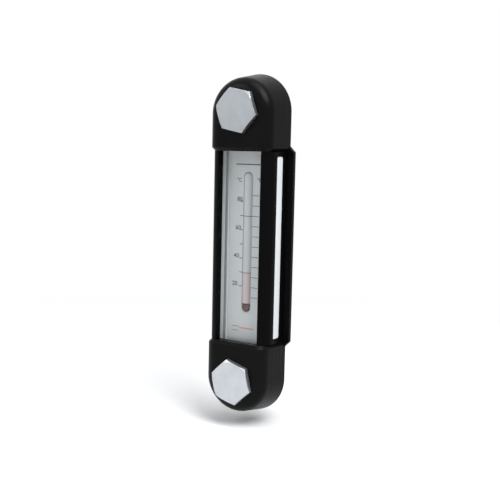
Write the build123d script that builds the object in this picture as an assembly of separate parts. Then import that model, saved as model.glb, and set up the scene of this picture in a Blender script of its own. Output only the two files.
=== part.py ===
from build123d import *
import math
import os

# Fluid level gauge with a thermometer, for the side wall of a hydraulic tank.
# Two moulded end caps hold a white gauge body in a black channel. The body has
# a chamber behind a clear pane, and a hollow bolt through each cap clamps the
# gauge to the tank and lets the oil in.
#
# X runs across the gauge, +Y points into the tank and +Z is up. The origin lies
# on the tank wall, midway between the two bolts. All sizes are in millimetres.

# ---- Driving dimensions -----------------------------------------------------

BOLT_SPACING = 127.0         # from one bolt's axis to the other's
WINDOW_LENGTH = 90.0         # from one end cap to the other

# End caps
CAP_WIDTH = 36.0             # across the rear edge
CAP_DEPTH = 19.4             # from the tank wall to the front face
CAP_DRAFT = 6.2              # degrees that the sides lean in towards the front
CAP_ROUND = 6.0              # round all along the front edge
CAP_STEP_BEVEL = 1.5         # where the cap stands above the channel
CAP_REAR_BEVEL = 0.8         # all along the rear edge
FAIRING_LENGTH = 3.5         # slope from the channel's feet back to the flank

# Channel that guards the gauge body
CHANNEL_WIDTH = 32.8         # across the two side walls
CHANNEL_DEPTH = 17.2         # from the tank wall to the front of the lips
CHANNEL_ROUND = 6.0          # round along each front edge
SIDE_WALL = 2.3
LIP_THICKNESS = 3.6          # in front of the pane
LIP_EDGE_ROUND = 0.5
WINDOW_WIDTH = 22.4          # between the lips
WEB_THICKNESS = 2.0          # behind the gauge body, and in the feet
FOOT_REACH = 3.9             # each foot, beyond its side wall
SLOT_LENGTH = 86.0           # side slot, along the gauge
SLOT_SETBACK = 6.9           # from the front of the lips to the slot
SLOT_WIDTH = 5.9
SLOT_CORNER = 1.2

# Gauge body and pane
BODY_CLEARANCE = 0.2         # around the body, in the channel and in the caps
BODY_INSERTION = 5.5         # length of body inside each cap
BODY_EDGE = 0.8
RIB_RECESS = 0.4             # rib in the side slot, below the channel's side face
CHAMBER_WIDTH = 18.4         # oil chamber in the body
CHAMBER_DEPTH = 6.6
CHAMBER_CORNER = 1.2
CHAMBER_END_WALL = 2.5
PANE_THICKNESS = 2.0
CORD_WIDTH = 1.1             # sealing cord between body and pane
CORD_DEPTH = 0.5
GASKET_THICKNESS = 1.5       # at each end of the body
GASKET_LIP = 0.8             # by which the gasket stands back from the body's edges

# Scale plate and thermometer
SCALE_THICKNESS = 4.9
SCALE_CLEARANCE = 0.2        # around the plate, in the chamber
SCALE_END_GAP = 2.0          # left at each end, for the oil to pass
THERMOMETER_X = 1.25         # right of the gauge's middle
STEM_RADIUS = 2.2            # glass stem
STEM_BASE = -31.2            # lower end of the stem
STEM_TOP = 35.2              # upper end
GLASS_WALL = 0.25            # glass around the bulb
BULB_LENGTH = 3.9            # red liquid at the foot of the stem
COLUMN_RADIUS = 0.7          # red liquid above the bulb
LIQUID_TOP = -12.5           # height that the liquid has risen to
THERMOMETER_CLEARANCE = 0.25

# Bolts
BOLT_RADIUS = 6.0            # M12 thread
BOLT_NECK_RADIUS = 5.2       # plain shank between the head and the thread; oil flows around it
BOLT_THREAD_START = 1.0      # from the cap's rear face to the thread
BOLT_CLEARANCE = 0.25        # around the thread as it passes through the cap
BOLT_REACH = 14.0            # from the cap's rear face to the bolt's tip
BOLT_TIP_CHAMFER = 1.0
HEX_ACROSS_FLATS = 19.0
HEX_HEIGHT = 2.6
HEX_CHAMFER = 0.7            # height of the chamfer at the hexagon's corners
UPPER_HEX_TURN = -11.4       # degrees, as each bolt happens to stop
LOWER_HEX_TURN = 43.1
OIL_BORE_RADIUS = 3.0        # along the bolt's axis
OIL_BORE_FLOOR = 5.0         # solid metal left under the front of the shank
CROSS_HOLE_RADIUS = 2.25     # from the oil bore out of one side of the neck
PASSAGE_RADIUS = 2.2         # from the cap's bore to the chamber

# Sealing rings
HEAD_RING_SECTION = 1.8      # width and depth of the ring under the bolt's head
TANK_RING_SECTION = 2.6      # width and depth of the ring against the tank wall
RING_CLEARANCE = 0.05

# ---- Worked out from the driving dimensions ---------------------------------

BOLT_Z = BOLT_SPACING / 2
CAP_END = WINDOW_LENGTH / 2                    # inner end face of a cap
CAP_RADIUS = CAP_WIDTH / 2
DRAFT_INSET = CAP_DEPTH * math.tan(math.radians(CAP_DRAFT))
FOOT_X = CHANNEL_WIDTH / 2 + FOOT_REACH
WEB_FRONT = -WEB_THICKNESS
CAVITY_X = CHANNEL_WIDTH / 2 - SIDE_WALL
CAVITY_FRONT = -(CHANNEL_DEPTH - LIP_THICKNESS)

BODY_WIDTH = 2 * (CAVITY_X - BODY_CLEARANCE)
BODY_REAR = WEB_FRONT - BODY_CLEARANCE
PANE_FRONT = CAVITY_FRONT + BODY_CLEARANCE
RIM_Y = PANE_FRONT + PANE_THICKNESS            # where the pane lies on the body
CORE_DEPTH = BODY_REAR - PANE_FRONT            # of the body with its pane
CORE_Y = (BODY_REAR + PANE_FRONT) / 2
BODY_END = CAP_END + BODY_INSERTION
CHAMBER_END = BODY_END - CHAMBER_END_WALL
CHAMBER_REAR = RIM_Y + CHAMBER_DEPTH
CHAMBER_Y = (RIM_Y + CHAMBER_REAR) / 2
SOCKET_END = BODY_END + GASKET_THICKNESS       # floor of the cap's socket

SCALE_REAR = CHAMBER_REAR - SCALE_CLEARANCE / 2
SCALE_FRONT = SCALE_REAR - SCALE_THICKNESS
STEM_Y = RIM_Y + SCALE_CLEARANCE + STEM_RADIUS

PORT_Y = CHAMBER_Y                             # depth of the oil holes and passages
BORE_RADIUS = BOLT_RADIUS + BOLT_CLEARANCE


def facing(y):
    """Plane across the gauge at depth y, seen from the front: X right, Z up."""
    return Plane(origin=(0, y, 0), x_dir=(1, 0, 0), z_dir=(0, -1, 0))


def across(x0, x1, y0, y1, z0, z1):
    """Block between two values of X, Y and Z."""
    size = (x1 - x0, y1 - y0, z1 - z0)
    return Pos((x0 + x1) / 2, (y0 + y1) / 2, (z0 + z1) / 2) * Box(*size)


def rod(radius, y0, y1, z=0.0):
    """Cylinder along Y, from y0 to y1, at height z."""
    disc = facing(y1) * Pos(0, z) * Circle(radius)
    return extrude(disc, y1 - y0)


def upright(section, z0, z1):
    """Section in X and Y, carried from height z0 to height z1."""
    return extrude(Pos(0, 0, z0) * section, z1 - z0)


# ---- End caps ---------------------------------------------------------------

def cap_profile():
    """Half section of a cap, from the bolt's axis out to its drafted side."""
    front = CAP_RADIUS - DRAFT_INSET
    corners = [(0, 0), (0, -CAP_DEPTH), (front, -CAP_DEPTH), (CAP_RADIUS, 0)]
    profile = Polygon(*corners, align=None)
    front_corner = profile.vertices().group_by(Axis.Y)[0].sort_by(Axis.X)[-1]
    return fillet(front_corner, CAP_ROUND)


def cap_body():
    """Outer form of the upper cap, with its round, its bevels and its fairings."""
    bolt_axis = Axis((0, 0, BOLT_Z), (0, -1, 0))
    crown = revolve(Pos(0, 0, BOLT_Z) * cap_profile(), bolt_axis, 180)
    flank = upright(cap_profile(), CAP_END, BOLT_Z)
    body = crown + flank + mirror(flank, about=Plane.YZ)
    end_face = body.faces().sort_by(Axis.Z)[0]
    rear_edge = end_face.edges().sort_by(Axis.Y)[-1]
    body = chamfer([e for e in end_face.edges() if e != rear_edge], CAP_STEP_BEVEL)
    rear = body.faces().sort_by(Axis.Y)[-1]
    rear_edge = rear.edges().sort_by(Axis.Z)[0]
    body = chamfer([e for e in rear.edges() if e != rear_edge], CAP_REAR_BEVEL)
    slope = Polygon(
        (-FOOT_X, CAP_END),
        (FOOT_X, CAP_END),
        (FOOT_X - FAIRING_LENGTH, CAP_END + FAIRING_LENGTH),
        (FAIRING_LENGTH - FOOT_X, CAP_END + FAIRING_LENGTH),
        align=None,
    )
    fairing = extrude(facing(0) * slope, WEB_THICKNESS)
    return body + fairing


def body_socket():
    """Space in the upper cap for the end of the gauge body and its gasket."""
    width = BODY_WIDTH + 2 * BODY_CLEARANCE
    depth = CORE_DEPTH + 2 * BODY_CLEARANCE
    return upright(Pos(0, CORE_Y) * Rectangle(width, depth), CAP_END - 1, SOCKET_END)


def bolt_passage():
    """Bore for the upper bolt, with its ring seats and its oil passage."""
    bore = rod(BORE_RADIUS, -CAP_DEPTH - 1, 1, BOLT_Z)
    head_seat = rod(BORE_RADIUS + HEAD_RING_SECTION, -CAP_DEPTH - 1, HEAD_RING_SECTION - CAP_DEPTH, BOLT_Z)
    tank_seat = rod(BORE_RADIUS + TANK_RING_SECTION, -TANK_RING_SECTION, 1, BOLT_Z)
    passage = upright(Pos(0, PORT_Y) * Circle(PASSAGE_RADIUS), SOCKET_END - 1, BOLT_Z)
    return bore + head_seat + tank_seat + passage


def end_cap():
    """Upper end cap, moulded in one piece."""
    return cap_body() - body_socket() - bolt_passage()


# ---- Channel ----------------------------------------------------------------

def channel():
    """Extruded channel: web with feet, side walls with slots, and front lips."""
    walls = Pos(0, -CHANNEL_DEPTH / 2) * Rectangle(CHANNEL_WIDTH, CHANNEL_DEPTH)
    walls = fillet(walls.vertices().group_by(Axis.Y)[0], CHANNEL_ROUND)
    feet = Pos(0, WEB_FRONT / 2) * Rectangle(2 * FOOT_X, WEB_THICKNESS)
    cavity_depth = WEB_FRONT - CAVITY_FRONT
    cavity = Pos(0, WEB_FRONT - cavity_depth / 2) * Rectangle(2 * CAVITY_X, cavity_depth)
    window = Pos(0, CAVITY_FRONT) * Rectangle(WINDOW_WIDTH, 2 * LIP_THICKNESS + 1)
    section = walls + feet - cavity - window
    at_window = section.vertices().filter_by_position(Axis.X, -WINDOW_WIDTH / 2, WINDOW_WIDTH / 2)
    section = fillet(at_window.group_by(Axis.Y)[0], LIP_EDGE_ROUND)
    body = upright(section, -CAP_END, CAP_END)
    return body - side_slots()


def side_slots():
    """Slot through both side walls."""
    return extrude(slot_outline(0), FOOT_X, both=True)


def slot_outline(clearance):
    """Side slot seen along X, or the rib that fills it with a clearance."""
    centre_y = SLOT_SETBACK + SLOT_WIDTH / 2 - CHANNEL_DEPTH
    side = Plane(origin=(0, centre_y, 0), x_dir=(0, 0, 1), z_dir=(1, 0, 0))
    length = SLOT_LENGTH - 2 * clearance
    width = SLOT_WIDTH - 2 * clearance
    return side * RectangleRounded(length, width, SLOT_CORNER - clearance)


# ---- Gauge body and what it holds --------------------------------------------

def gauge_body():
    """White body with its chamber, a port at each end and a rib in each slot."""
    depth = BODY_REAR - RIM_Y
    block = Pos(0, BODY_REAR - depth / 2) * Rectangle(BODY_WIDTH, depth)
    block = fillet(block.vertices().group_by(Axis.Y)[-1], BODY_EDGE)
    ribs = extrude(slot_outline(BODY_CLEARANCE), CHANNEL_WIDTH / 2 - RIB_RECESS, both=True)
    chamber_outline = Pos(0, CHAMBER_Y) * Rectangle(CHAMBER_WIDTH, CHAMBER_DEPTH)
    chamber_outline = fillet(chamber_outline.vertices().group_by(Axis.Y)[-1], CHAMBER_CORNER)
    chamber = upright(chamber_outline, -CHAMBER_END, CHAMBER_END)
    ports = upright(Pos(0, PORT_Y) * Circle(PASSAGE_RADIUS), -BODY_END, BODY_END)
    return upright(block, -BODY_END, BODY_END) + ribs - chamber - ports - cord_seat()


def cord_seat():
    """Rebate for the sealing cord, around the chamber's mouth."""
    half = CHAMBER_WIDTH / 2 + CORD_WIDTH
    end = CHAMBER_END + CORD_WIDTH
    return across(-half, half, RIM_Y, RIM_Y + CORD_DEPTH, -end, end)


def pane_cord():
    """Sealing cord that lies in its rebate, behind the pane."""
    half = CHAMBER_WIDTH / 2
    mouth = across(-half, half, RIM_Y, RIM_Y + CORD_DEPTH, -CHAMBER_END, CHAMBER_END)
    return cord_seat() - mouth


def sight_pane():
    """Clear pane that closes the chamber in front."""
    half = BODY_WIDTH / 2
    pane = across(-half, half, PANE_FRONT, RIM_Y, -BODY_END, BODY_END)
    upright_edges = pane.edges().filter_by(Axis.Z).group_by(Axis.Y)[0]
    return chamfer(upright_edges, BODY_EDGE)


def port_gasket():
    """Flat gasket between the upper end of the body and its cap, open at the port."""
    shrink = 2 * GASKET_LIP
    outer = Pos(0, CORE_Y) * Rectangle(BODY_WIDTH - shrink, CORE_DEPTH - shrink)
    opening = Pos(0, PORT_Y) * Circle(PASSAGE_RADIUS)
    return upright(outer - opening, BODY_END, SOCKET_END)


def scale_plate():
    """White plate that carries the scale, grooved for the thermometer."""
    width = CHAMBER_WIDTH - 2 * SCALE_CLEARANCE
    end = CHAMBER_END - SCALE_END_GAP
    outline = Pos(0, (SCALE_FRONT + SCALE_REAR) / 2) * Rectangle(width, SCALE_THICKNESS)
    outline = fillet(outline.vertices().group_by(Axis.Y)[-1], CHAMBER_CORNER)
    plate = upright(outline, -end, end)
    return plate - thermometer_room()


def thermometer_room():
    """Slot with round ends for the thermometer, in the front of the plate."""
    width = 2 * (STEM_RADIUS + THERMOMETER_CLEARANCE)
    length = STEM_TOP - STEM_BASE + 2 * THERMOMETER_CLEARANCE
    middle = Pos(THERMOMETER_X, (STEM_BASE + STEM_TOP) / 2)
    floor = STEM_Y + STEM_RADIUS + THERMOMETER_CLEARANCE
    return extrude(facing(floor) * middle * SlotOverall(length, width, rotation=90), floor - RIM_Y)


def glass_rod(radius, z0, z1):
    """Rod on the thermometer's axis, its ends bevelled to half an octagon."""
    plain = upright(Pos(THERMOMETER_X, STEM_Y) * Circle(radius), z0, z1)
    return chamfer(plain.edges().filter_by(GeomType.CIRCLE), radius * (2 - math.sqrt(2)))


def thermometer_glass():
    """Glass stem, hollow where the liquid is."""
    return glass_rod(STEM_RADIUS, STEM_BASE, STEM_TOP) - thermometer_liquid()


def thermometer_liquid():
    """Red liquid that fills the bulb and has risen in the stem."""
    floor = STEM_BASE + GLASS_WALL
    bulb = glass_rod(STEM_RADIUS - GLASS_WALL, floor, floor + BULB_LENGTH)
    column = Pos(THERMOMETER_X, STEM_Y) * Circle(COLUMN_RADIUS)
    return bulb + upright(column, floor + BULB_LENGTH / 2, LIQUID_TOP)


# ---- Bolts and sealing rings ------------------------------------------------

def hollow_bolt(turn):
    """Hexagon bolt with an oil bore, at the upper cap, its head turned by turn."""
    seat = -CAP_DEPTH
    across_corners = HEX_ACROSS_FLATS / math.cos(math.radians(30))
    hexagon = RegularPolygon(across_corners / 2, 6, rotation=turn)
    head = extrude(facing(seat) * Pos(0, BOLT_Z) * hexagon, HEX_HEIGHT)
    turned = rod(across_corners / 2, seat - HEX_HEIGHT, seat, BOLT_Z)
    rim = turned.faces().sort_by(Axis.Y)[0].edges()
    head = head & chamfer(rim, HEX_CHAMFER, HEX_CHAMFER / math.tan(math.radians(30)))
    thread = rod(BOLT_RADIUS, BOLT_THREAD_START, BOLT_REACH, BOLT_Z)
    tip = thread.faces().sort_by(Axis.Y)[-1].edges()
    shank = chamfer(tip, BOLT_TIP_CHAMFER) + rod(BOLT_NECK_RADIUS, seat, BOLT_THREAD_START, BOLT_Z)
    oil_bore = rod(OIL_BORE_RADIUS, seat + OIL_BORE_FLOOR, BOLT_REACH + 1, BOLT_Z)
    cross_hole = upright(Pos(0, PORT_Y) * Circle(CROSS_HOLE_RADIUS), BOLT_Z - BOLT_RADIUS, BOLT_Z)
    return head + shank - oil_bore - cross_hole


def sealing_ring(section, y0, y1):
    """Flat rubber ring about the upper bolt's axis, from y0 to y1."""
    outer = rod(BORE_RADIUS + section - RING_CLEARANCE, y0, y1, BOLT_Z)
    return outer - rod(BORE_RADIUS + RING_CLEARANCE, y0, y1, BOLT_Z)


def head_ring():
    """Ring under the upper bolt's head, in the front of the cap."""
    return sealing_ring(HEAD_RING_SECTION, -CAP_DEPTH, HEAD_RING_SECTION - CAP_DEPTH)


def tank_ring():
    """Ring behind the upper cap, against the tank wall."""
    return sealing_ring(TANK_RING_SECTION, -TANK_RING_SECTION, 0)


# ---- Nodes ------------------------------------------------------------------

def lower(shape):
    """The same piece at the gauge's lower end."""
    return mirror(shape, about=Plane.XY)


def pieces():
    """Every piece of the gauge, by the name of its node."""
    return {
        "guard_channel": channel(),
        "upper_end_cap": end_cap(),
        "lower_end_cap": lower(end_cap()),
        "gauge_body": gauge_body(),
        "sight_pane": sight_pane(),
        "pane_cord": pane_cord(),
        "upper_port_gasket": port_gasket(),
        "lower_port_gasket": lower(port_gasket()),
        "scale_plate": scale_plate(),
        "thermometer_glass": thermometer_glass(),
        "thermometer_liquid": thermometer_liquid(),
        "upper_bolt": hollow_bolt(UPPER_HEX_TURN),
        "lower_bolt": lower(hollow_bolt(-LOWER_HEX_TURN)),
        "upper_head_ring": head_ring(),
        "lower_head_ring": lower(head_ring()),
        "upper_tank_ring": tank_ring(),
        "lower_tank_ring": lower(tank_ring()),
    }


os.makedirs("parts", exist_ok=True)
for node, shape in pieces().items():
    export_step(shape, f"parts/{node}.step")
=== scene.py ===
import bpy
import bmesh
import math
from collections import namedtuple
from mathutils import Matrix, Vector

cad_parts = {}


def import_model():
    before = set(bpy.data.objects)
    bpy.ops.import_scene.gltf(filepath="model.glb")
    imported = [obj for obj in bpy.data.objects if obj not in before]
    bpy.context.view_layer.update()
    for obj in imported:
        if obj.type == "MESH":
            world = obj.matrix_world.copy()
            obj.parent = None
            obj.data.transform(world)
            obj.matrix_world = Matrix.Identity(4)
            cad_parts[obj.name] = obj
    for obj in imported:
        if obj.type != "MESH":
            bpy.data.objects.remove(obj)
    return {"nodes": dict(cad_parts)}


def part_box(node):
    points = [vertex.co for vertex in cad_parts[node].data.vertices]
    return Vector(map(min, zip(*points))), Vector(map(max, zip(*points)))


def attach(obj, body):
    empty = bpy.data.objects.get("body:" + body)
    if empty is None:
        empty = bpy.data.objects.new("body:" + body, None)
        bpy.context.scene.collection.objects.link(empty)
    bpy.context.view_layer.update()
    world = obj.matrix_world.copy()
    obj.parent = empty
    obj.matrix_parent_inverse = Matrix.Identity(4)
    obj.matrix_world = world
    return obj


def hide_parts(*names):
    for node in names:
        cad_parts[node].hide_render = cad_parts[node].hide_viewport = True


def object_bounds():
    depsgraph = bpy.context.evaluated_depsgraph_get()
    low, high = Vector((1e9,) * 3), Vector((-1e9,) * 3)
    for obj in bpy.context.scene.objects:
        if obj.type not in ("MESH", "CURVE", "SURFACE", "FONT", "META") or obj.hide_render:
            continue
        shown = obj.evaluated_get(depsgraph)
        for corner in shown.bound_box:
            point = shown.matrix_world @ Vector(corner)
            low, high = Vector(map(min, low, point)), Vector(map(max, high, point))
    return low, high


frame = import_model()
cad_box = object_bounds()

# The gauge stands upright along z, about its middle. Its front faces -y, and the rear face
# of its caps, which goes against the tank, lies at y = 0.

MM = 0.001                  # one millimetre, in metres


# ---- Shader nodes ------------------------------------------------------------------

NOISE_ROUGHNESS = 0.55
DARK_UP_TO = 0.3            # the darker tone holds up to this value of a noise
LIGHT_FROM = 0.7            # and the lighter one from this value on

# A grain is a noise with so many spots per metre. Its depth in millimetres is how far it
# dents the surface, and an along below 1 draws its spots out over the height.
Grain = namedtuple("Grain", "scale detail depth along", defaults=(0.0, 1.0))


def new_material(name):
    """Empty node material, with its tree and its Principled shader."""
    material = bpy.data.materials.new(name)
    material.use_nodes = True
    tree = material.node_tree
    return material, tree, tree.nodes["Principled BSDF"]


def node(tree, kind, inputs=None, **settings):
    """Adds a node with the given socket values and settings."""
    added = tree.nodes.new(kind)
    for key, value in settings.items():
        setattr(added, key, value)
    for key, value in (inputs or {}).items():
        added.inputs[key].default_value = value
    return added


def object_coords(tree, along=1.0):
    """Object coordinates, with the height multiplied by along."""
    coords = node(tree, "ShaderNodeTexCoord")
    mapping = node(tree, "ShaderNodeMapping", {"Scale": (1, 1, along)})
    tree.links.new(coords.outputs["Object"], mapping.inputs["Vector"])
    return mapping.outputs["Vector"]


def noise(tree, coords, scale, detail):
    """Noise from 0 to 1 at the given coordinates."""
    values = {"Scale": scale, "Detail": detail, "Roughness": NOISE_ROUGHNESS}
    texture = node(tree, "ShaderNodeTexNoise", values)
    tree.links.new(coords, texture.inputs["Vector"])
    return texture.outputs["Fac"]


def two_tones(tree, factor, low, high):
    """Colour that runs from one tone to the other with a noise."""
    ramp = node(tree, "ShaderNodeValToRGB")
    stops = ramp.color_ramp.elements
    for stop, position, tone in zip(stops, (DARK_UP_TO, LIGHT_FROM), (low, high)):
        stop.position = position
        stop.color = (*tone, 1)
    tree.links.new(factor, ramp.inputs["Fac"])
    return ramp.outputs["Color"]


def remap(tree, factor, low, high):
    """Number that runs from low to high with a noise."""
    result = node(tree, "ShaderNodeMapRange", {"To Min": low, "To Max": high})
    tree.links.new(factor, result.inputs["Value"])
    return result.outputs["Result"]


def dent(tree, shader, dents):
    """Chains one bump for each (height, depth) onto the shader's normal."""
    normal = None
    for height, depth in dents:
        bump = node(tree, "ShaderNodeBump", {"Distance": depth})
        tree.links.new(height, bump.inputs["Height"])
        if normal:
            tree.links.new(normal, bump.inputs["Normal"])
        normal = bump.outputs["Normal"]
    if normal:
        tree.links.new(normal, shader.inputs["Normal"])


def mix_into_surface(tree, factor, first, second, output):
    """Mixes two shaders by a factor and shows the result."""
    mix = node(tree, "ShaderNodeMixShader")
    tree.links.new(factor, mix.inputs["Fac"])
    tree.links.new(first, mix.inputs[1])
    tree.links.new(second, mix.inputs[2])
    tree.links.new(mix.outputs["Shader"], tree.nodes[output].inputs["Surface"])


def larger(tree, first, second):
    """The larger of two numbers."""
    either = node(tree, "ShaderNodeMath", operation="MAXIMUM")
    tree.links.new(first, either.inputs[0])
    tree.links.new(second, either.inputs[1])
    return either.outputs[0]


# ---- Materials ---------------------------------------------------------------------

def grained(name, low, high, tone, gloss, rough, dents=(), specular=0.5, metallic=0.0):
    """Opaque material between two close tones, with a grain in its gloss and fine dents.

    The tone runs from low to high with the grain called tone, and the roughness over the
    range called rough with the grain called gloss.
    """
    material, tree, shader = new_material(name)
    stretches = {grain.along for grain in (tone, gloss, *dents)}
    coords = {along: object_coords(tree, along) for along in sorted(stretches)}

    def pattern(grain):
        """Noise of a grain."""
        return noise(tree, coords[grain.along], grain.scale, grain.detail)

    tree.links.new(two_tones(tree, pattern(tone), low, high), shader.inputs["Base Color"])
    tree.links.new(remap(tree, pattern(gloss), *rough), shader.inputs["Roughness"])
    shader.inputs["Specular IOR Level"].default_value = specular
    shader.inputs["Metallic"].default_value = metallic
    dent(tree, shader, [(pattern(grain), grain.depth * MM) for grain in dents])
    return material


def black_plastic():
    """Moulded black plastic of the end caps: satin, with a fine grain and upright streaks."""
    fine = Grain(scale=2600, detail=3, depth=0.02)
    streaks = Grain(scale=520, detail=3, depth=0.08, along=0.06)
    waves = Grain(scale=90, detail=2, depth=0.06)
    return grained(
        "moulded_black",
        low=(0.0018, 0.0018, 0.0018),
        high=(0.0034, 0.0035, 0.0033),
        tone=Grain(scale=60, detail=4),
        gloss=Grain(scale=420, detail=4, along=0.06),
        rough=(0.18, 0.40),
        dents=(fine, streaks, waves),
        specular=0.065,
    )


def black_channel():
    """Black anodised extrusion, with faint lines along its length."""
    lines = Grain(scale=1800, detail=3, depth=0.01, along=0.01)
    fine = Grain(scale=2400, detail=2, depth=0.01)
    return grained(
        "anodised_black",
        low=(0.0014, 0.0014, 0.0017),
        high=(0.0026, 0.0026, 0.0031),
        tone=Grain(scale=700, detail=4, along=0.01),
        gloss=Grain(scale=1500, detail=4, along=0.01),
        rough=(0.30, 0.42),
        dents=(lines, fine),
        specular=0.035,
    )


def plated_steel(name, low, high):
    """Zinc-plated steel of the bolts: satin, with fine machining marks."""
    marks = Grain(scale=1500, detail=4, depth=0.012, along=0.12)
    waves = Grain(scale=260, detail=3, depth=0.03)
    return grained(
        name,
        low=low,
        high=high,
        tone=Grain(scale=240, detail=5),
        gloss=Grain(scale=900, detail=5, along=0.12),
        rough=(0.36, 0.50),
        dents=(marks, waves),
        metallic=1.0,
    )


def scale_white():
    """White of the scale plate, a little grey."""
    return grained(
        "scale_white",
        low=(0.45, 0.47, 0.485),
        high=(0.49, 0.51, 0.525),
        tone=Grain(scale=40, detail=4),
        gloss=Grain(scale=400, detail=3),
        rough=(0.35, 0.50),
        dents=(Grain(scale=1800, detail=2, depth=0.01),),
    )


def body_white():
    """Moulded white plastic of the gauge body, brighter than the scale."""
    return grained(
        "body_white",
        low=(0.64, 0.665, 0.675),
        high=(0.70, 0.72, 0.73),
        tone=Grain(scale=50, detail=4),
        gloss=Grain(scale=400, detail=3),
        rough=(0.30, 0.42),
        dents=(Grain(scale=2000, detail=2, depth=0.01),),
    )


def rubber(name, low, high, rough):
    """Matt rubber with a fine grain, black in the rings and grey in the cord."""
    return grained(
        name,
        low=low,
        high=high,
        tone=Grain(scale=300, detail=4),
        gloss=Grain(scale=800, detail=3),
        rough=rough,
        dents=(Grain(scale=2500, detail=3, depth=0.02),),
    )


def ink(name, colour):
    """Printing ink, a little uneven."""
    dark = 0.85             # share of the colour left where the ink is darkest
    return grained(
        name,
        low=tuple(dark * part for part in colour),
        high=colour,
        tone=Grain(scale=900, detail=4),
        gloss=Grain(scale=1200, detail=2),
        rough=(0.45, 0.60),
    )


def spirit(name, low, high):
    """Red spirit of the thermometer: deep in the bulb, pale where it is thin."""
    return grained(
        name,
        low=low,
        high=high,
        tone=Grain(scale=500, detail=3),
        gloss=Grain(scale=500, detail=3),
        rough=(0.12, 0.20),
        specular=0.05,
    )


def clear_plastic(name, tint, ior, rough, clear=1.0):
    """Clear or milky glass or acrylic that lets the lamps through to what it covers."""
    material, tree, shader = new_material(name)
    coords = object_coords(tree)
    gloss = noise(tree, coords, scale=300, detail=3)
    waves = noise(tree, coords, scale=45, detail=2)
    tree.links.new(remap(tree, gloss, rough, 2 * rough), shader.inputs["Roughness"])
    shader.inputs["Base Color"].default_value = (*tint, 1)
    shader.inputs["IOR"].default_value = ior
    shader.inputs["Transmission Weight"].default_value = clear
    dent(tree, shader, [(waves, 0.02 * MM)])
    path = node(tree, "ShaderNodeLightPath")
    from_lamps = larger(tree, path.outputs["Is Shadow Ray"], path.outputs["Is Diffuse Ray"])
    through = node(tree, "ShaderNodeBsdfTransparent", {"Color": (*tint, 1)})
    solid, open_to_light = shader.outputs["BSDF"], through.outputs["BSDF"]
    mix_into_surface(tree, from_lamps, solid, open_to_light, "Material Output")
    return material


FINISHES = {
    "cap": black_plastic(),
    "channel": black_channel(),
    "steel": plated_steel("plated_steel", low=(0.48, 0.505, 0.53), high=(0.53, 0.555, 0.58)),
    # The upper bolt is the same plated steel with a darker tone: painted shade, for the darker surroundings
    # its head reflects.
    "shaded_steel": plated_steel("plated_steel_painted_shade", low=(0.33, 0.352, 0.375), high=(0.37, 0.392, 0.415)),
    "pane": clear_plastic("clear_acrylic", tint=(0.97, 0.98, 0.975), ior=1.49, rough=0.02),
    "body": body_white(),
    "glass": clear_plastic("thermometer_glass", tint=(0.98, 0.98, 0.98), ior=1.14, rough=0.015),
    "milky_glass": clear_plastic("milky_stem", tint=(0.52, 0.535, 0.55), ior=1.33, rough=0.12, clear=0.2),
    "tinted_glass": clear_plastic("tinted_stem", tint=(0.58, 0.495, 0.51), ior=1.33, rough=0.12, clear=0.3),
    "white": scale_white(),
    "rubber": rubber("seal_rubber", low=(0.008, 0.008, 0.008), high=(0.02, 0.02, 0.02), rough=(0.60, 0.75)),
    "cord": rubber("cord_rubber", low=(0.19, 0.195, 0.20), high=(0.25, 0.255, 0.26), rough=(0.50, 0.65)),
    "black_ink": ink("black_print", colour=(0.012, 0.012, 0.015)),
    "grey_ink": ink("grey_print", colour=(0.07, 0.07, 0.08)),
    "red_ink": ink("red_print", colour=(0.60, 0.22, 0.23)),
    "brown_ink": ink("brown_print", colour=(0.30, 0.24, 0.19)),
    "liquid": spirit("red_spirit", low=(0.075, 0.004, 0.005), high=(0.115, 0.007, 0.007)),
    "thin_liquid": spirit("thin_spirit", low=(0.47, 0.365, 0.38), high=(0.52, 0.41, 0.425)),
}

NODE_FINISHES = {
    "guard_channel": "channel",
    "upper_end_cap": "cap",
    "lower_end_cap": "cap",
    "gauge_body": "body",
    "sight_pane": "pane",
    "pane_cord": "cord",
    "upper_port_gasket": "rubber",
    "lower_port_gasket": "rubber",
    "scale_plate": "white",
    "thermometer_glass": "glass",
    "thermometer_liquid": "liquid",
    # painted shade: the upper bolt's steel is painted darker than the lower one's
    "upper_bolt": "shaded_steel",
    "lower_bolt": "steel",
    "upper_head_ring": "rubber",
    "lower_head_ring": "rubber",
    "upper_tank_ring": "rubber",
    "lower_tank_ring": "rubber",
}

for node_name, finish in NODE_FINISHES.items():
    for material_slot in frame["nodes"][node_name].material_slots:
        material_slot.material = FINISHES[finish]


# ---- Meshes and pieces -------------------------------------------------------------

WELD = 0.00001 * MM         # points nearer than this become one


def to_mesh(name, bm):
    """Mesh of a bmesh, with its faces turned outward."""
    bmesh.ops.recalc_face_normals(bm, faces=bm.faces)
    mesh = bpy.data.meshes.new(name)
    bm.to_mesh(mesh)
    bm.free()
    return mesh


def skin(name, rows):
    """Mesh over rows of points round an axis. A row of one point closes an end."""
    bm = bmesh.new()
    rings = [[bm.verts.new(point) for point in row] for row in rows]
    for lower, upper in zip(rings, rings[1:]):
        around = max(len(lower), len(upper))
        for i in range(around):
            j = (i + 1) % around
            if len(lower) == 1:
                bm.faces.new((lower[0], upper[j], upper[i]))
            elif len(upper) == 1:
                bm.faces.new((lower[i], lower[j], upper[0]))
            else:
                bm.faces.new((lower[i], lower[j], upper[j], upper[i]))
    bmesh.ops.remove_doubles(bm, verts=bm.verts, dist=WELD)
    return to_mesh(name, bm)


def add_piece(name, mesh, finish, stands_for=None):
    """Adds a mesh as a piece that rides on the gauge's one body."""
    mesh.name = name
    mesh.materials.clear()
    mesh.materials.append(FINISHES[finish])
    piece = bpy.data.objects.new(name, mesh)
    bpy.context.collection.objects.link(piece)
    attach(piece, "root")
    if stands_for:
        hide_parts(stands_for)
    return piece


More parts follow.
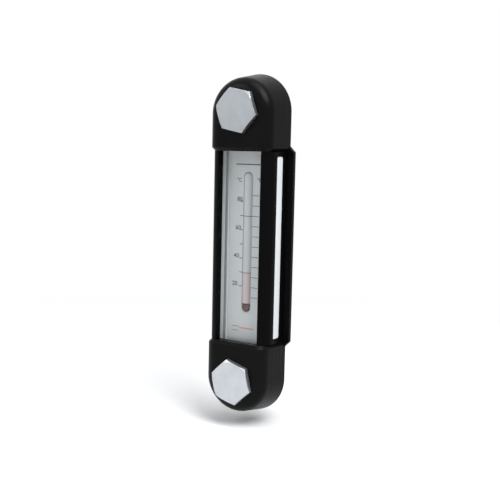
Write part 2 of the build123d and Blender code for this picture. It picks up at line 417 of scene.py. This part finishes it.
def smooth_below(mesh, degrees):
    """Shades a mesh smooth, apart from edges that turn by more than an angle."""
    for face in mesh.polygons:
        face.use_smooth = True
    mesh.set_sharp_from_angle(angle=math.radians(degrees))


# ---- Bolts with their threads ------------------------------------------------------

BOLT_Z = 63.5 * MM          # from the middle of the gauge to each bolt's axis
UPPER_TURN = -11.4          # degrees by which each hexagon happens to be turned
LOWER_TURN = 43.1
HALF_FLATS = 9.5 * MM       # hexagon, 19 mm across flats
SIDE_ANGLE = 60             # degrees that one side of a hexagon takes up
CORNER = HALF_FLATS / math.cos(math.radians(SIDE_ANGLE / 2))
HEAD_HEIGHT = 2.6 * MM
CHAMFER_SLOPE = math.tan(math.radians(30))
CHAMFER_RISE = 0.7 * MM     # height of the chamfer at the hexagon's corners
FLAT_FRONT = CORNER - CHAMFER_RISE / CHAMFER_SLOPE      # radius of the head's flat front
EDGE = 0.16 * MM            # radius of the rounded edges
EDGE_MIDDLE = 0.29 * EDGE   # from a sharp corner to the middle of the rounded edge
SHANK = 6.0 * MM            # radius over the thread
NECK = 5.2 * MM             # radius of the plain shank between the head and the thread
BORE = 3.0 * MM             # radius of the bore along the axis
BORE_FLOOR = 5.0 * MM       # from the head's seat to the end of the straight bore
DRILL_POINT = 0.6 * BORE    # depth of the cone at the end of the bore
PITCH = 1.5 * MM
THREAD_DEPTH = 0.85 * MM
THREAD_FLAT = 0.12          # share of the pitch that is flat at the crest, and at the root
THREAD_START = 1.0 * MM     # behind the rear face of the caps
TIP_CHAMFER = 1.0 * MM      # at 45 degrees
ROUND_A_BOLT = 96           # points round a bolt, besides those at the hexagon's corners
ANGLE_DIGITS = 9            # to which two directions count as the same
ROWS_PER_PITCH = 12
SHARP_ON_BOLT = 28          # degrees that an edge turns by to stay sharp


def hexagon_radius(angle, turn):
    """From the bolt's axis to the side of its hexagon, in the direction of an angle."""
    off_middle = (math.degrees(angle) - turn) % SIDE_ANGLE - SIDE_ANGLE / 2
    return HALF_FLATS / math.cos(math.radians(off_middle))


def thread_radius(angle, y, tip):
    """Radius of the threaded shank in the direction of an angle, at y along the bolt."""
    phase = (y / PITCH - angle / (2 * math.pi)) % 1.0
    from_crest = 1 - abs(2 * phase - 1)
    cut = min(max((from_crest - THREAD_FLAT) / (1 - 2 * THREAD_FLAT), 0.0), 1.0)
    fade = min((y - THREAD_START) / PITCH, 1.0)
    lead_in = max(0.0, SHANK - NECK - (y - THREAD_START))
    lead_out = max(0.0, TIP_CHAMFER - (tip - y))
    return min(SHANK - THREAD_DEPTH * cut * fade, SHANK - max(lead_in, lead_out))


def head_rings(hexagon, front, seat):
    """Rings of (radius, y) over the head, from its flat front to its seat."""
    edge = [(r, front + max(0.0, r - FLAT_FRONT) * CHAMFER_SLOPE) for r in hexagon]
    return [
        [(min(r, FLAT_FRONT) / 2, front) for r in hexagon],
        [(min(r - 2 * EDGE, FLAT_FRONT - EDGE), front) for r in hexagon],
        [(min(r - EDGE, FLAT_FRONT), front) for r in hexagon],
        [(r - EDGE_MIDDLE, y + EDGE_MIDDLE) for r, y in edge],
        [(r, y + EDGE) for r, y in edge],
        [(r, y + 2 * EDGE) for r, y in edge],
        [(r, seat) for r in hexagon],
    ]


def thread_rings(angles, tip):
    """Rings of (radius, y) over the thread, from its start to the bolt's tip."""
    length = tip - THREAD_START
    steps = round(length / PITCH * ROWS_PER_PITCH)
    heights = [THREAD_START + length * i / steps for i in range(1, steps + 1)]
    return [[(thread_radius(a, y, tip), y) for a in angles] for y in heights]


def bolt(node_name, turn, finish):
    """Hollow bolt: hexagon head, relieved neck, threaded shank and a blind bore."""
    low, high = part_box(node_name)
    front, tip = low[1], high[1]
    seat = front + HEAD_HEIGHT
    bore_floor = seat + BORE_FLOOR
    axis_z = math.copysign(BOLT_Z, low[2])
    even = {round(2 * math.pi * i / ROUND_A_BOLT, ANGLE_DIGITS) for i in range(ROUND_A_BOLT)}
    corners = [math.radians((turn + side) % 360) for side in range(0, 360, SIDE_ANGLE)]
    angles = sorted(even | {round(corner, ANGLE_DIGITS) for corner in corners})
    rings = head_rings([hexagon_radius(a, turn) for a in angles], front, seat)
    rings += [[(NECK, y)] * len(angles) for y in (seat, THREAD_START)]
    rings += thread_rings(angles, tip)
    rings += [[(BORE, y)] * len(angles) for y in (tip, bore_floor)]
    rows = [[(0, front, axis_z)]]
    for ring in rings:
        row = zip(angles, ring)
        rows.append([(r * math.cos(a), y, axis_z + r * math.sin(a)) for a, (r, y) in row])
    rows.append([(0, bore_floor - DRILL_POINT, axis_z)])
    name = node_name + "_threaded"
    mesh = skin(name, rows)
    smooth_below(mesh, SHARP_ON_BOLT)
    return add_piece(name, mesh, finish, node_name)


# The upper bolt takes the steel with painted shade, darker than the lower bolt's.
bolt("upper_bolt", UPPER_TURN, "shaded_steel")
bolt("lower_bolt", LOWER_TURN, "steel")


# ---- End caps with leaning crowns --------------------------------------------------

CROWN_LEAN = 1.4 * MM       # by which the front of a crown leans in towards the gauge's middle
LEAN_START = 4.0 * MM       # from the cap's inner end to where the lean starts
SEAT = 9.0 * MM             # radius round the bolt's axis that keeps its shape


def leaning_cap(node_name):
    """End cap whose crown leans in a little towards its front."""
    low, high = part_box(node_name)
    depth = high[1] - low[1]
    sign = 1 if low[2] > 0 else -1
    lean_from = min(abs(low[2]), abs(high[2])) + LEAN_START
    mesh = frame["nodes"][node_name].data.copy()
    for v in mesh.vertices:
        reach = min(max((sign * v.co.z - lean_from) / (BOLT_Z - lean_from), 0.0), 1.0)
        from_axis = math.hypot(v.co.x, v.co.z - sign * BOLT_Z)
        if from_axis > SEAT:
            v.co.z -= sign * CROWN_LEAN * reach * (high[1] - v.co.y) / depth
    return add_piece(node_name + "_leaning", mesh, "cap", node_name)


leaning_cap("upper_end_cap")
leaning_cap("lower_end_cap")


# ---- Thermometer -------------------------------------------------------------------

glass_low, glass_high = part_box("thermometer_glass")
spirit_low, spirit_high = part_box("thermometer_liquid")

STEM_X = (glass_low[0] + glass_high[0]) / 2
STEM_Y = (glass_low[1] + glass_high[1]) / 2
STEM = (glass_high[1] - glass_low[1]) / 2       # radius of the stem
GROOVE_FILL = 0.2 * MM      # by which the stem is wider at each side, to fill its groove
DOME_STEPS = 10             # in the quarter round of the stem's ends
BULB = (spirit_high[1] - spirit_low[1]) / 2     # radius of the bulb
BULB_ARC = 0.85 * math.pi   # from the foot of the bulb to its neck
BULB_STEPS = 16
BULB_TOP = spirit_low[2] + 2 * BULB
NECK_RADIUS = 0.7 * MM
NECK_SWELL = 1.15           # times the neck's radius, where it starts to widen
NECK_LENGTH = 1.8 * MM
NECK_STRAIGHT = 0.3         # share of the neck's length that hardly widens
COLUMN = 1.6 * MM           # radius of the column, as it looks through the glass
ROUND_CORNER = 0.7          # middle of a quarter round, as a share of its radius both ways
NECK_CLEAR = 0.1            # share of the neck's length beside which the glass is clear
CLEAR_TO = BULB_TOP + NECK_CLEAR * NECK_LENGTH
AROUND_GLASS = 48
AROUND_SPIRIT = 32
SHARP_WHEN_TURNED = 40      # degrees that an edge turns by to stay sharp


def turned(name, profile, finish, stands_for=None, around=AROUND_GLASS):
    """Piece turned about the stem's axis from (radius, height) points."""
    angles = [2 * math.pi * i / around for i in range(around)]
    rows = []
    for r, z in profile:
        directions = angles if r else angles[:1]
        rows.append([(STEM_X + r * math.cos(a), STEM_Y + r * math.sin(a), z) for a in directions])
    mesh = skin(name, rows)
    smooth_below(mesh, SHARP_WHEN_TURNED)
    return add_piece(name, mesh, finish, stands_for)


def widen(piece):
    """Widens the stem, or what is printed round it, to fill the groove."""
    for v in piece.data.vertices:
        v.co.x = STEM_X + (v.co.x - STEM_X) * (STEM + GROOVE_FILL) / STEM


def finish_above(piece, height, finish):
    """Gives the faces above a height another material."""
    piece.data.materials.append(FINISHES[finish])
    last = len(piece.data.materials) - 1
    for face in piece.data.polygons:
        if face.center.z > height:
            face.material_index = last


def stem_profile(foot, top, joints):
    """Half section of the stem: round ends, and a ring of points at each joint."""
    arc = [math.pi / 2 * i / DOME_STEPS for i in range(DOME_STEPS + 1)]
    lower = [(STEM * math.sin(a), foot + STEM - STEM * math.cos(a)) for a in arc]
    upper = [(r, foot + top - z) for r, z in reversed(lower)]
    return lower + [(STEM, z) for z in joints] + upper


def spirit_profile(foot, top):
    """Half section of the spirit: a round bulb that necks down into the column."""
    arc = [BULB_ARC * i / BULB_STEPS for i in range(1, BULB_STEPS + 1)]
    bulb = [(BULB * math.sin(a), foot + BULB - BULB * math.cos(a)) for a in arc]
    neck = [
        (NECK_RADIUS, BULB_TOP),
        (NECK_RADIUS * NECK_SWELL, BULB_TOP + NECK_STRAIGHT * NECK_LENGTH),
    ]
    column = [
        (COLUMN, BULB_TOP + NECK_LENGTH),
        (COLUMN, top - COLUMN),
        (COLUMN * ROUND_CORNER, top - COLUMN * (1 - ROUND_CORNER)),
    ]
    return [(0, foot)] + bulb + neck + column + [(0, top)]


def thermometer():
    """Glass stem, clear at the bulb and milky above, with the red spirit in it."""
    spirit_top = spirit_high[2]
    tube = turned(
        "thermometer_tube",
        stem_profile(glass_low[2], glass_high[2], joints=(CLEAR_TO, spirit_top)),
        finish="glass",
        stands_for="thermometer_glass",
    )
    finish_above(tube, CLEAR_TO, "tinted_glass")
    finish_above(tube, spirit_top, "milky_glass")
    widen(tube)
    filling = turned(
        "thermometer_spirit",
        spirit_profile(spirit_low[2], spirit_top),
        finish="liquid",
        stands_for="thermometer_liquid",
        around=AROUND_SPIRIT,
    )
    finish_above(filling, BULB_TOP, "thin_liquid")


thermometer()


# ---- Print on the scale ------------------------------------------------------------

plate_low, plate_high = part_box("scale_plate")

FACE = plate_low[1]         # the plate's front face
PRINT_FRONT = 0.03 * MM     # from the face to the front of the ink
PRINT_BACK = 0.002 * MM     # and to its back
BOLDNESS = 0.05 * MM        # by which the figures' outlines are moved outward

DECADES = 7                 # marks left of the stem, one for each ten degrees
EIGHTY_Z = 21.4 * MM        # height of the 80 degree mark
DECADE = 6.73 * MM          # from one mark to the next
MARK = 0.38 * MM            # thickness of a mark
MARK_LEFT = -2.9 * MM       # left end of the marks
STEM_GAP = 0.3 * MM         # between the stem and the marks
MARK_STEM_LEFT = glass_low[0] - STEM_GAP        # where the marks end beside the stem
MARK_STEM_RIGHT = glass_high[0] + STEM_GAP
RINGED_MARKS = (1, 5)       # marks that run on round the stem; the top one is 0
RIGHT_MARKS = 11
RIGHT_TOP_Z = 24.4 * MM     # height of the highest mark right of the stem
RIGHT_STEP = 4.85 * MM      # from one of them to the next
RIGHT_MARK = 0.34 * MM      # their thickness
MARK_RIGHT = 7.4 * MM       # their right end
FIGURE_SIZE = 3.0 * MM
FIGURE_LIFT = 1.0 * MM      # by which each figure stands above its mark
FIGURE_X = -4.3 * MM        # of the figures, at the height of the gauge's middle
FIGURE_SLANT = 0.05         # shift to the right of a figure, as a share of its height
SIGN_SIZE = 2.5 * MM


def bar(x0, x1, z, thickness):
    """Rectangle (x0, x1, z0, z1) of a level line."""
    return (x0, x1, z - thickness / 2, z + thickness / 2)


def printed_bars(name, bars, finish):
    """One thin printed mesh made of rectangles (x0, x1, z0, z1)."""
    bm = bmesh.new()
    for x0, x1, z0, z1 in bars:
        corners = ((x0, z0), (x1, z0), (x1, z1), (x0, z1))
        front = [bm.verts.new((x, FACE - PRINT_FRONT, z)) for x, z in corners]
        back = [bm.verts.new((x, FACE - PRINT_BACK, z)) for x, z in corners]
        bm.faces.new(front)
        bm.faces.new(back[::-1])
        for i in range(len(corners)):
            j = (i + 1) % len(corners)
            bm.faces.new((front[i], back[i], back[j], front[j]))
    return add_piece(name, to_mesh(name, bm), finish)


def printed_words(name, text, x, z, size):
    """Printed figures or a sign, centred at (x, z), as a thin mesh."""
    curve = bpy.data.curves.new(name, "FONT")
    curve.body = text
    curve.size = size
    curve.align_x = "CENTER"
    curve.align_y = "CENTER"
    curve.extrude = PRINT_FRONT / 2
    curve.offset = BOLDNESS
    text_object = bpy.data.objects.new(name + "_tmp", curve)
    bpy.context.collection.objects.link(text_object)
    bpy.context.view_layer.update()
    evaluated = text_object.evaluated_get(bpy.context.evaluated_depsgraph_get())
    mesh = bpy.data.meshes.new_from_object(evaluated)
    bpy.data.objects.remove(text_object)
    y = FACE - PRINT_FRONT / 2 - PRINT_BACK
    place = Matrix.Translation((x, y, z))
    mesh.transform(place @ Matrix.Rotation(math.pi / 2, 4, "X"))
    return add_piece(name, mesh, "black_ink")


def stem_ring(name, z):
    """Fine line printed round the thermometer's stem."""
    low, high = z - MARK / 2, z + MARK / 2
    inner, outer = STEM + PRINT_BACK, STEM + PRINT_FRONT
    profile = [(inner, low), (outer, low), (outer, high), (inner, high), (inner, low)]
    widen(turned(name, profile, "grey_ink"))


def scale():
    """Marks, figures and unit signs, with a level line near each end of the plate."""
    levels = [EIGHTY_Z - DECADE * i for i in range(DECADES)]
    left = [bar(MARK_LEFT, MARK_STEM_LEFT, z, MARK) for z in levels]
    printed_bars("left_marks", left, "black_ink")
    right_levels = [RIGHT_TOP_Z - RIGHT_STEP * i for i in range(RIGHT_MARKS)]
    right = [bar(MARK_STEM_RIGHT, MARK_RIGHT, z, RIGHT_MARK) for z in right_levels]
    printed_bars("right_marks", right, "grey_ink")
    for i in RINGED_MARKS:
        stem_ring("stem_ring_" + str(i), levels[i])
    for figure, z in zip(("80", "60", "40", "20"), levels[::2]):
        x = FIGURE_X + FIGURE_SLANT * z
        printed_words("figure_" + figure, figure, x, z + FIGURE_LIFT, FIGURE_SIZE)
    printed_words("celsius_sign", "°C", x=-3.7 * MM, z=31.5 * MM, size=SIGN_SIZE)
    printed_words("fahrenheit_sign", "°F", x=7.0 * MM, z=31.6 * MM, size=SIGN_SIZE)
    upper = bar(x0=-5.6 * MM, x1=plate_high[0], z=38.9 * MM, thickness=0.6 * MM)
    printed_bars("upper_line", [upper], "black_ink")
    lower = bar(x0=-2.4 * MM, x1=5.6 * MM, z=-39.2 * MM, thickness=0.7 * MM)
    printed_bars("lower_line", [lower], "red_ink")
    above = bar(x0=-6.4 * MM, x1=-2.4 * MM, z=-38.6 * MM, thickness=0.5 * MM)
    below = bar(x0=-6.4 * MM, x1=-2.4 * MM, z=-40.6 * MM, thickness=0.4 * MM)
    printed_bars("lower_fine_lines", [above, below], "brown_ink")


scale()


# ---- Floor, light and camera -------------------------------------------------------

FLOOR_HALF = 3.0            # half the side of the floor, in metres
FLOOR_GAP = 4.5 * MM        # from the lowest point of the gauge down to the floor
FLOOR_WHITE = 0.88
FADE_START = 0.2            # metres from the gauge's middle where the floor starts to fade
FADE_END = 0.42             # and where it is plain white
SKY = (0.93, 0.96, 1.0, 1)
SKY_STRENGTH = 0.55
WHITE = {"Color": (1, 1, 1, 1), "Strength": 1.0}
SENSOR = 36                 # width of the camera's sensor, in millimetres
LENS = 61.281072            # focal length, in millimetres
CAMERA_AIM = Vector((0, -8 * MM, 0))
CAMERA_DISTANCE = 405.615 * MM
CAMERA_ROLL = math.radians(1.25)
CAMERA_SHIFT = (0.004616, -0.007422)            # in widths of the picture
NEAREST_SEEN = 10 * MM


def direction(azimuth, elevation):
    """Unit vector from the gauge towards a place round it, given in degrees."""
    a, e = math.radians(azimuth), math.radians(elevation)
    return Vector((math.sin(a) * math.cos(e), -math.cos(a) * math.cos(e), math.sin(e)))


def floor():
    """Plain white floor that keeps the shadow and fades to white round it."""
    half, z = FLOOR_HALF, cad_box[0][2] - FLOOR_GAP
    corners = [(-half, -half, z), (half, -half, z), (half, half, z), (-half, half, z)]
    mesh = bpy.data.meshes.new("floor")
    mesh.from_pydata(corners, [], [(0, 1, 2, 3)])
    material, tree, shader = new_material("floor_white")
    shader.inputs["Base Color"].default_value = (FLOOR_WHITE, FLOOR_WHITE, FLOOR_WHITE, 1)
    shader.inputs["Roughness"].default_value = 1.0
    shader.inputs["Specular IOR Level"].default_value = 0.0
    length = node(tree, "ShaderNodeVectorMath", operation="LENGTH")
    tree.links.new(object_coords(tree), length.inputs[0])
    limits = {"From Min": FADE_START, "From Max": FADE_END}
    far = node(tree, "ShaderNodeMapRange", limits, interpolation_type="SMOOTHSTEP")
    tree.links.new(length.outputs["Value"], far.inputs["Value"])
    white = node(tree, "ShaderNodeEmission", WHITE)
    near, away = shader.outputs["BSDF"], white.outputs["Emission"]
    mix_into_surface(tree, far.outputs["Result"], near, away, "Material Output")
    mesh.materials.append(material)
    plane = bpy.data.objects.new("floor", mesh)
    bpy.context.collection.objects.link(plane)


def world():
    """Pale soft light from all round, seen as plain white."""
    studio = bpy.data.worlds.new("studio")
    bpy.context.scene.world = studio
    studio.use_nodes = True
    tree = studio.node_tree
    light = tree.nodes["Background"]
    light.inputs["Color"].default_value = SKY
    light.inputs["Strength"].default_value = SKY_STRENGTH
    white = node(tree, "ShaderNodeBackground", WHITE)
    path = node(tree, "ShaderNodeLightPath")
    seen = larger(tree, path.outputs["Is Camera Ray"], path.outputs["Is Glossy Ray"])
    seen = larger(tree, seen, path.outputs["Is Transmission Ray"])
    around, shown = light.outputs["Background"], white.outputs["Background"]
    mix_into_surface(tree, seen, around, shown, "World Output")


def lamp(name, azimuth, elevation, distance, size, power):
    """Round soft lamp that points at the gauge's middle; distance and size in metres."""
    data = bpy.data.lights.new(name, "AREA")
    data.shape = "DISK"
    data.size = size
    data.energy = power
    towards = direction(azimuth, elevation)
    light = bpy.data.objects.new(name, data)
    bpy.context.collection.objects.link(light)
    light.location = towards * distance
    light.rotation_mode = "QUATERNION"
    light.rotation_quaternion = (-towards).to_track_quat("-Z", "Y")


def camera(azimuth, elevation):
    """Camera that looks at the gauge from a direction, with a slight roll."""
    towards = direction(azimuth, elevation)
    level = Vector((math.cos(math.radians(azimuth)), math.sin(math.radians(azimuth)), 0))
    upright = towards.cross(level)
    right = level * math.cos(CAMERA_ROLL) + upright * math.sin(CAMERA_ROLL)
    up = upright * math.cos(CAMERA_ROLL) - level * math.sin(CAMERA_ROLL)
    data = bpy.data.cameras.new("camera")
    data.sensor_width = SENSOR
    data.lens = LENS
    data.shift_x, data.shift_y = CAMERA_SHIFT
    data.clip_start = NEAREST_SEEN
    placed = Matrix((right, up, towards)).transposed().to_4x4()
    placed.translation = CAMERA_AIM + towards * CAMERA_DISTANCE
    viewer = bpy.data.objects.new("camera", data)
    bpy.context.collection.objects.link(viewer)
    viewer.matrix_world = placed
    bpy.context.scene.camera = viewer


floor()
world()
lamp("key", azimuth=64, elevation=50, distance=0.8, size=0.45, power=5.4)
lamp("top", azimuth=60, elevation=76, distance=0.8, size=0.5, power=2.2)
lamp("fill", azimuth=-40, elevation=35, distance=1.0, size=0.6, power=2.9)
camera(azimuth=31.171, elevation=6.463)
bpy.context.scene.view_settings.view_transform = "Standard"
